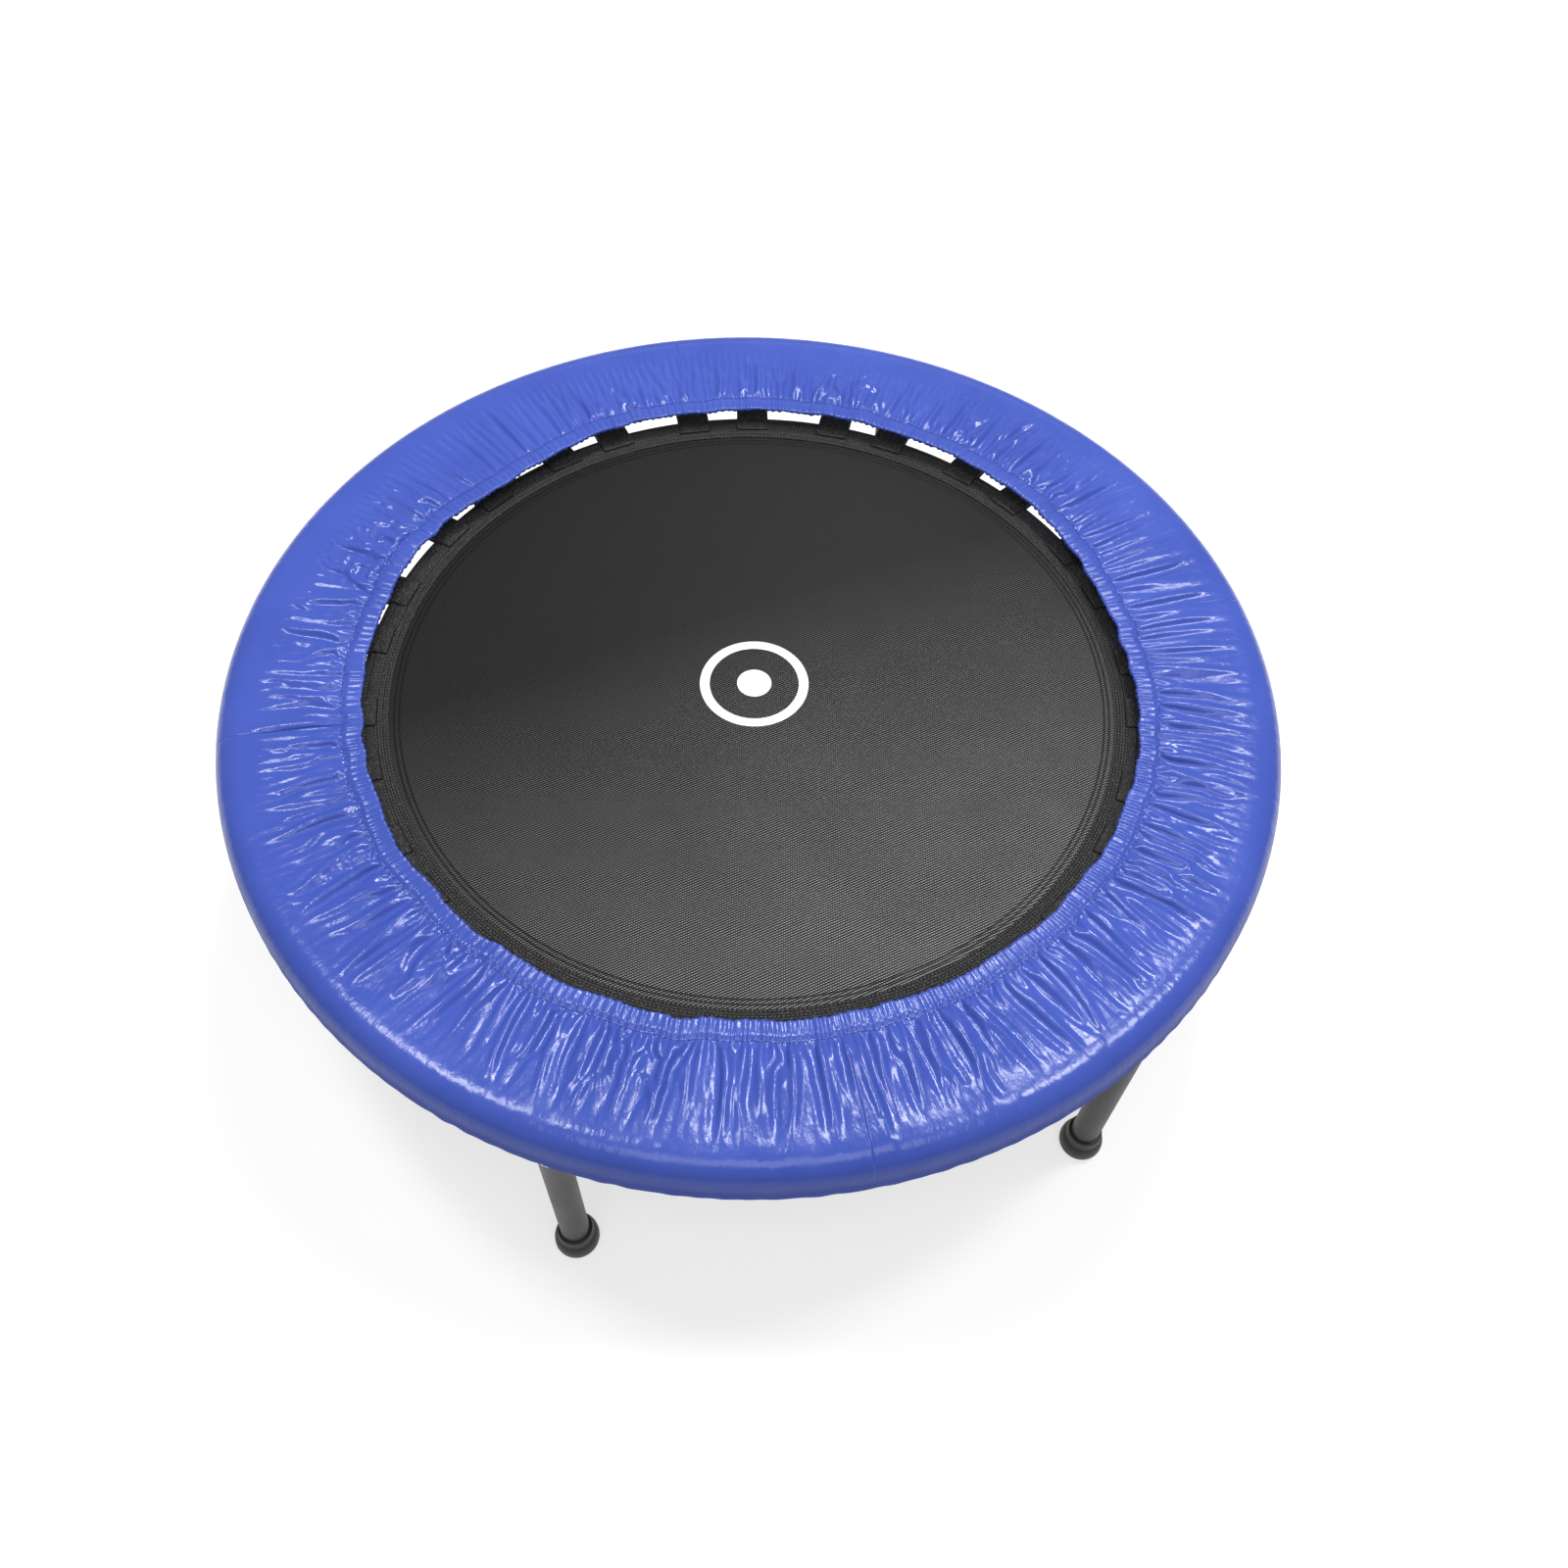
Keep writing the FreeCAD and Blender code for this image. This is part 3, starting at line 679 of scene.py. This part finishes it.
def gather_row(azimuths):
    """Heights of the tight gathers that the inner elastic makes, round the rim."""
    total = 2 * GATHERS
    at = (np.arange(total) + rng.uniform(-0.35, 0.35, total)) * TURN / total
    crest = np.arange(total) % 2 == 0
    tall = np.where(crest, rng.uniform(0.2, 1.5, total), -rng.uniform(0.2, 1.3, total)) * GATHER_HEIGHT
    return soften(np.interp(azimuths, at, tall, period=TURN), 1)


def soften(values, passes, axis=0):
    """Rounds creases a little along a closed row."""
    for _ in range(passes):
        beside = np.roll(values, 1, axis=axis) + np.roll(values, -1, axis=axis)
        values = 0.25 * beside + 0.5 * values
    return values


def pull_together(points, other, rest, stiffness, push=1.0):
    """Moves two sets of linked points along their links, towards the links' rest lengths.

    Only a share called push of the correction is made where a link is too short."""
    gap = other - points
    length = np.sqrt((gap ** 2).sum(axis=2, keepdims=True)) + 1e-9
    error = (length - rest[..., None]) / length
    error = np.where(error < 0, error * push, error)
    return gap * (0.5 * stiffness * error)


def relax(cloth, fixed, rest_around, rest_out, floor):
    """Lets the cut sheet settle into its pleats: a mass-spring cloth on a closed grid.

    Links run round the rim, outwards and across both diagonals, and longer ones over three
    columns or two rows resist bending. The sheet can't sink below floor, where the foam is."""
    speed = np.zeros_like(cloth)
    free = (1.0 - fixed)[:, None, None]
    diagonal = np.sqrt(rest_around[:-1] ** 2 + rest_out ** 2)
    for _ in range(RELAX_STEPS):
        before = cloth.copy()
        cloth = cloth + speed * free
        cloth[:, :, 2] -= WEIGHT * free[:, :, 0]
        for _ in range(RELAX_PASSES):
            move = np.zeros_like(cloth)
            step = pull_together(cloth, np.roll(cloth, -1, axis=1), rest_around, STRETCH)
            move += step - np.roll(step, 1, axis=1)
            step = pull_together(cloth[:-1], cloth[1:], rest_out, STRETCH, SLACK_OUT)
            move[:-1] += step
            move[1:] -= step
            for shift in (-1, 1):
                far = np.roll(cloth[1:], shift, axis=1)
                step = pull_together(cloth[:-1], far, diagonal, SHEAR, SLACK_ACROSS)
                move[:-1] += step
                move[1:] -= np.roll(step, -shift, axis=1)
            far = np.roll(cloth, -BEND_SPAN, axis=1)
            step = pull_together(cloth, far, BEND_SPAN * rest_around, BEND_AROUND)
            move += step - np.roll(step, BEND_SPAN, axis=1)
            step = pull_together(cloth[:-2], cloth[2:], rest_out[:-1] + rest_out[1:], BEND_OUT)
            move[:-2] += step
            move[2:] -= step
            cloth = cloth + move * EASE * free
            cloth[:, :, 2] = np.maximum(cloth[:, :, 2], floor)
        speed = (cloth - before) * DAMPING
    return cloth


def mouth_offsets(around):
    """How far outwards the edge of the hole lies from its circle, at each azimuth."""
    offsets = 1.3 * MM * wave(around, 17, seed=5, spread=9)
    offsets += 0.8 * MM * wave(around, 60, seed=6, spread=14)
    for centre, half_width, inward in MOUTH_BULGES:
        apart = np.mod(around - math.radians(centre) + math.pi, TURN) - math.pi
        offsets -= inward * np.exp(-(apart / math.radians(half_width)) ** 4)
    return offsets


def elastic_band(material):
    """Flat elastic lying in the tunnel, which follows the edge of the hole."""
    columns = 520
    around = TURN * np.arange(columns) / columns
    offsets = mouth_offsets(around)
    radii = np.linspace(HOLE_R + 3.5 * MM, HOLE_R + 14.5 * MM, 6)
    points = []
    for r in radii:
        for angle, offset in zip(around, offsets):
            points.append(((r + offset) * math.sin(angle), -(r + offset) * math.cos(angle),
                           TUNNEL_TOP - MOUTH_ROLL))
    obj = link_mesh("tunnel_elastic", points, grid_faces(len(radii), columns, close_columns=True))
    obj.data.materials.append(material)
    thick = obj.modifiers.new("band", "SOLIDIFY")
    thick.thickness = 0.8 * MM
    thick.offset = 0
    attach(obj, "frame")
    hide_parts("inner_elastic")


def cover_surface():
    """Vertex grid of the gathered cover: rows from the hem to the mouth, columns round the rim."""
    rows, distance = cover_profile()
    azimuths = FIRST_SEAM + TURN * np.arange(COLUMNS) / COLUMNS
    around = np.mod(azimuths, TURN)
    folds = [Pleats(*numbers) for numbers in FOLDS]
    mouth_wave = mouth_offsets(around)
    pinch_row = gather_row(around)
    foot_wave = wave(around, 130, seed=77, spread=40)
    grid = np.zeros((len(rows), COLUMNS, 3))
    step_in = np.gradient(rows, axis=0)
    size = np.hypot(step_in[:, 0], step_in[:, 1])
    normals = np.stack([step_in[:, 1], -step_in[:, 0]], axis=1) / size[:, None]
    strength = region(around)
    for i, ((r, z), d) in enumerate(zip(rows, distance)):
        lift = np.zeros(COLUMNS)
        if d > 0:
            for fold in folds:
                lift += fold.row(around, r, d)
            lift = soften(lift, 2)
            lift += pinch_row * math.exp(-d / GATHER_FADE)
            hem_side = np.clip((z - COVER_TOP + CORNER) / -(12 * MM), 0, 1)
            lift += HEM_WAVE * foot_wave * hem_side
        else:
            lift += pinch_row * np.clip((d + 34 * MM) / (12 * MM), 0, 1)
        ease = np.exp(-np.clip(d, 0, None) / MOUTH_FADE)
        radius = r + mouth_wave * ease + normals[i, 0] * lift
        grid[i, :, 0] = radius * np.sin(around)
        grid[i, :, 1] = -radius * np.cos(around)
        grid[i, :, 2] = z + normals[i, 1] * lift
    count = int((distance >= 0).sum())
    drawn = grid[:count]
    r, z, d = rows[:count, 0], rows[:count, 1], distance[:count]
    share = np.clip(1 - d / SPARE_WIDTH, 0, 1)[:, None] ** 1.5
    spare = SPARE * share * (0.35 + 0.65 * strength)[None, :]
    rest_around = (TURN * r / COLUMNS)[:, None] * (1 + spare)
    rest_out = np.repeat((d[:-1] - d[1:])[:, None], COLUMNS, axis=1)
    fixed = np.clip((d - HELD_FROM) / (8 * MM), 0, 1)
    fixed[-1] = 1
    give = FOAM_GIVE * np.clip(d / (6 * MM), 0.3, 1) * np.clip((96 * MM - d) / (30 * MM), 0, 1)
    settled = relax(drawn, fixed, rest_around, rest_out, (z - give)[:, None])
    settled = soften(settled, 2, axis=1)
    kept = np.clip((d - KEPT_FROM) / KEPT_OVER, 0, 1)
    kept = (kept ** 2 * (3 - 2 * kept))[:, None, None]
    grid[:count] = settled * (1 - kept) + drawn * kept
    return grid


def rim_stitches(grid, material):
    """Thread of the tunnel's stitch line: one short raised stitch after another."""
    row = int(np.argmin(np.abs(cover_profile()[1])))
    points, faces = [], []
    for first in range(0, COLUMNS, STITCH_COLUMNS):
        path = [Vector(grid[row, first + j]) + Vector((0, 0, lift))
                for j, lift in enumerate(STITCH_LIFTS)]
        more_points, more_faces = wire_along(path, THREAD, sides=6)
        faces += [tuple(len(points) + i for i in face) for face in more_faces]
        points += more_points
    obj = link_mesh("rim_stitches", points, faces)
    obj.data.materials.append(material)
    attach(obj, "frame")


def rim_cover(outer, inner, thread):
    """The gathered cover, as its four sewn panels of sheet with a backing."""
    grid = cover_surface()
    rim_stitches(grid, thread)
    for k, node in enumerate(PANELS):
        columns = np.arange(k * PANEL_COLUMNS, (k + 1) * PANEL_COLUMNS + 1) % COLUMNS
        part = grid[:, columns].reshape(-1, 3)
        obj = link_mesh(f"rim_cover_{k + 1}", part, grid_faces(len(grid), PANEL_COLUMNS + 1))
        obj.data.materials.append(outer)
        obj.data.materials.append(inner)
        thick = obj.modifiers.new("sheet", "SOLIDIFY")
        thick.thickness = SHEET
        thick.offset = -1
        thick.material_offset = 1
        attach(obj, "frame")
        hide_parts(node)


# ---- mat -----------------------------------------------------------------------------------
BLEND_OUTER = 0.455                 # the springs hardly move here, where they meet the ring
BLEND_INNER = 0.204                 # the mat's dish is level inside this radius
SAG = 2.5 * MM                      # the mat's middle lies this much lower than the springs' ends
HUB_R = 12 * MM                     # a fan of triangles closes the mat inside this radius
HEM_THICK = 1.0 * MM


def mat_height(radius):
    """The resting mat is a very shallow dish."""
    share = np.clip((BLEND_OUTER - radius) / (BLEND_OUTER - BLEND_INNER), 0, 1)
    return MAT_Z - SAG * share


def grade(obj):
    """Bakes the piece's transform into its mesh."""
    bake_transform(obj)


def dish(name, radii, columns, thickness, offset, material):
    """A sheet or band on the mat's dish, offset up or down by its modifier, so that it grades right."""
    around = TURN * np.arange(columns) / columns
    points = []
    for r in radii:
        z = float(mat_height(r))
        points += [(r * math.sin(a), -r * math.cos(a), z) for a in around]
    faces = grid_faces(len(radii), columns, close_columns=True)
    if radii[0] <= HUB_R:
        points.append((0, 0, float(mat_height(0))))
        hub = len(points) - 1
        faces += [(k, hub, (k + 1) % columns) for k in range(columns)]
    obj = link_mesh(name, points, faces)
    obj.data.materials.append(material)
    thick = obj.modifiers.new("sheet", "SOLIDIFY")
    thick.thickness = thickness
    thick.offset = offset
    return obj


def mat_pieces(weave, weave_below, band):
    """The woven mat, and the webbing of its hem above and below its edge."""
    radii = np.linspace(HUB_R, MAT_R - 0.2 * MM, 60)
    mat = dish("woven_mat", radii, 240, MAT_THICK, 0.0, weave_below)
    mat.data.materials.append(weave)
    mat.modifiers["sheet"].material_offset = 1      # the sheet's own faces look down
    grade(mat)
    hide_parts("jumping_mat")
    radii = np.linspace(HEM_INNER, MAT_R + 0.3 * MM, 10)
    for name, side in (("mat_hem_upper", 1), ("mat_hem_lower", -1)):
        hem = dish(name, radii, 360, HEM_THICK, side * (1 + MAT_THICK / HEM_THICK + 0.04), band)
        grade(hem)
        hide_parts("hem_webbing")


def radial_blend(obj):
    """Bakes the piece's transform into its mesh."""
    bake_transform(obj)


# ---- tabs, triangles and springs -----------------------------------------------------------
TAB_WIDTH = 33 * MM
TAB_THICK = 1.2 * MM
BAR_R = 0.385                       # distance of a triangle's bar from the axis
TIP_R = 0.4049                      # distance of a triangle's tip from the axis
TRIANGLE_HALF = 22 * MM             # half the length of its bar
TRIANGLE_BEND = 3.2 * MM
TRIANGLE_WIRE = 1.5 * MM            # radius of its wire
SPRING_WIRE = 1.1 * MM              # radius of the spring's wire
COIL_R = 5.4 * MM
COIL_START = 0.4105
COIL_END = 0.4455
COIL_TURNS = 16
TURN_STEPS = 14                     # straight lengths of wire in one turn of the coil
EYE_R = 5.0 * MM


def tab(number, azimuth, material):
    """A strap folded round the bar of its triangle, its two ends sewn above and below the hem."""
    half = MAT_THICK / 2 + HEM_THICK + TAB_THICK / 2 + 0.15 * MM
    line = [(r, half) for r in np.linspace(TAB_INNER, BAR_R - 2 * MM, 14)]
    neck = TRIANGLE_WIRE + TAB_THICK / 2 + 0.1 * MM
    line += [(BAR_R + neck * math.cos(a), max(half, neck) * math.sin(a))
             for a in np.radians(np.linspace(80, -80, 11))]
    line += [(r, -half) for r in np.linspace(BAR_R - 2 * MM, TAB_INNER, 14)]
    across = np.linspace(-TAB_WIDTH / 2, TAB_WIDTH / 2, 13)
    draw = np.random.default_rng(500 + number)
    skew = draw.normal(0, 0.6 * MM, 2)
    points = []
    for r, z in line:
        upper = 1 if z > 0 else -1
        for s in across:
            edge = abs(s) / (TAB_WIDTH / 2)
            curl = 0.25 * MM * edge ** 4 * upper
            inner_skew = skew[0 if upper > 0 else 1] * (BAR_R - r) / (BAR_R - TAB_INNER)
            level = float(mat_height(min(r, MAT_R)))
            points.append(place(r, level + z + curl, azimuth, s + inner_skew))
    obj = link_mesh(f"tab_{number:02d}", points, grid_faces(len(line), len(across)))
    obj.data.materials.append(material)
    thick = obj.modifiers.new("strap", "SOLIDIFY")
    thick.thickness = TAB_THICK
    thick.offset = 0
    radial_blend(obj)
    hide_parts("webbing_tabs")


def curve(first, control, last, steps):
    """Points of a quadratic curve after its first point, which rounds a bend of a wire."""
    first, control, last = np.array((first, control, last))
    return [tuple((1 - u) ** 2 * first + 2 * u * (1 - u) * control + u ** 2 * last)
            for u in np.linspace(0, 1, steps)[1:]]


def triangle(number, azimuth, material):
    """Bent wire triangle with rounded corners and its joint in the middle of the bar."""
    z = float(mat_height(MAT_R))
    straight = -TRIANGLE_HALF + 2 * TRIANGLE_BEND
    half = [(BAR_R, s) for s in np.linspace(-0.3 * MM, straight, 6)]
    half += curve((BAR_R, straight), (BAR_R, -TRIANGLE_HALF),
                  (BAR_R + 3 * MM, -TRIANGLE_HALF + 2.4 * TRIANGLE_BEND), 7)
    tip = curve((TIP_R - 3 * MM, -4.5 * MM), (TIP_R + 2.4 * MM, 0), (TIP_R - 3 * MM, 4.5 * MM), 9)
    path = half + tip + [(r, -s) for r, s in reversed(half)]
    points, faces = wire_along([place(r, z, azimuth, s) for r, s in path], TRIANGLE_WIRE)
    obj = link_mesh(f"triangle_{number:02d}", points, faces)
    obj.data.materials.append(material)
    radial_blend(obj)
    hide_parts("wire_triangles")


def spring(number, azimuth, material):
    """Closely wound coil with an eye on the triangle's tip and a hook through the ring tube."""
    z = float(mat_height(MAT_R))
    eye_centre = TIP_R + 0.6 * MM
    path = [(eye_centre - EYE_R * math.cos(angle), 0.0, EYE_R * math.sin(angle))
            for angle in np.radians(np.linspace(-150, 150, 16))]
    for u in np.linspace(0, 1, COIL_TURNS * TURN_STEPS + 1):
        angle = TURN * COIL_TURNS * u + math.pi / 2
        along = COIL_START + (COIL_END - COIL_START) * u
        path.append((along, COIL_R * math.cos(angle), COIL_R * math.sin(angle)))
    reach = RING_R - 7.5 * MM
    path += [(COIL_END + 1.2 * MM, 0, COIL_R * 0.75), (COIL_END + 2.4 * MM, 0, COIL_R * 0.3)]
    path += [(r, 0, 0) for r in np.linspace(COIL_END + 4 * MM, reach - 2 * MM, 4)]
    path += [(reach - 0.6 * MM, 0, 0.5 * MM), (reach, 0, 2 * MM), (reach, 0, 5 * MM)]
    world = [place(r, z + up, azimuth, s) for r, s, up in path]
    points, faces = wire_along(world, SPRING_WIRE)
    obj = link_mesh(f"spring_{number:02d}", points, faces)
    obj.data.materials.append(material)
    radial_blend(obj)
    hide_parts("coil_springs")


# ---- foam ----------------------------------------------------------------------------------
# Its outline in mm: offsets from the foot of the inner side, of the outer side and of the inner side.
FOAM_INNER = ((1, 0), (0, 1.2), (0.4, 3.2), (3, 4.4), (25, 6.0), (55, 7.4))
FOAM_OUTER = ((-18, 8.4), (-8, 6.5), (-2, 2.6), (-1.5, 0.8), (-3, 0), (-20, -0.1))
FOAM_BELOW = ((50, 0), (25, 0.1))
FOAM_CROWN = 8.4 * MM


def foam_ring(material):
    """Foam pad over the springs, lower than its CAD solid where the cover's valleys press on it."""
    inner, outer, low = near_radius("foam_pad"), far_radius("foam_pad"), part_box("foam_pad")[0].z
    outline = []
    for start, offsets in ((inner, FOAM_INNER), (outer, FOAM_OUTER), (inner, FOAM_BELOW)):
        outline += [(start + r * MM, low + z * MM) for r, z in offsets]
    columns = 360
    around = TURN * np.arange(columns) / columns
    swell = 0.5 * MM * wave(around, 24, seed=91, spread=12)
    points = []
    for r, z in outline:
        up = (z - low) / FOAM_CROWN
        points += [(r * math.sin(a), -r * math.cos(a), z + w * up) for a, w in zip(around, swell)]
    faces = grid_faces(len(outline), columns, close_rows=True, close_columns=True)
    obj = link_mesh("foam_ring", points, faces)
    smooth = obj.modifiers.new("round", "SUBSURF")
    smooth.levels = smooth.render_levels = 1
    obj.data.materials.append(material)
    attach(obj, "frame")
    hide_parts("foam_pad")


# ---- the scene -----------------------------------------------------------------------------
def paint(node, material):
    """Gives a carried-over CAD node its material."""
    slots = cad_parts[node].data.materials
    if not slots:
        slots.append(material)
    for i in range(len(slots)):
        slots[i] = material


def main():
    """Builds the stage, the materials and every piece, and paints the CAD nodes that stay."""
    camera()
    studio()
    pvc, backing = cover_pvc(), cover_backing()
    weave, weave_below = mat_weave("mat_weave", True), mat_weave("mat_weave_below", False)
    band, strap = webbing("webbing", HEM_SEAMS), webbing("tab_webbing")
    rubbery, stretch = rubber(), elastic()
    zinc_wire, zinc_plate = zinc("spring_steel"), zinc("zinc_steel")
    black_coat = painted_steel("frame_steel", (0.020, 0.020, 0.021), (0.034, 0.034, 0.035), 0.38)
    grey_coat = painted_steel("leg_steel", (0.030, 0.030, 0.031), (0.044, 0.044, 0.045), 0.42)

    foam_ring(foam())
    rim_cover(pvc, backing, sewing_thread())
    elastic_band(stretch)
    for number, azimuth in enumerate(spring_azimuths(), start=1):
        spring(number, azimuth, zinc_wire)
        triangle(number, azimuth, zinc_plate)
        tab(number, azimuth, strap)
    mat_pieces(weave, weave_below, band)

    paint("frame_ring", black_coat)
    paint("leg_studs", zinc_plate)
    paint("outer_elastic", stretch)
    for i in range(1, 7):
        paint(f"leg_tube_{i}", grey_coat)
        paint(f"rubber_foot_{i}", rubbery)
        paint(f"leg_insert_{i}", zinc_plate)
        paint(f"lock_washer_{i}", zinc_plate)


main()
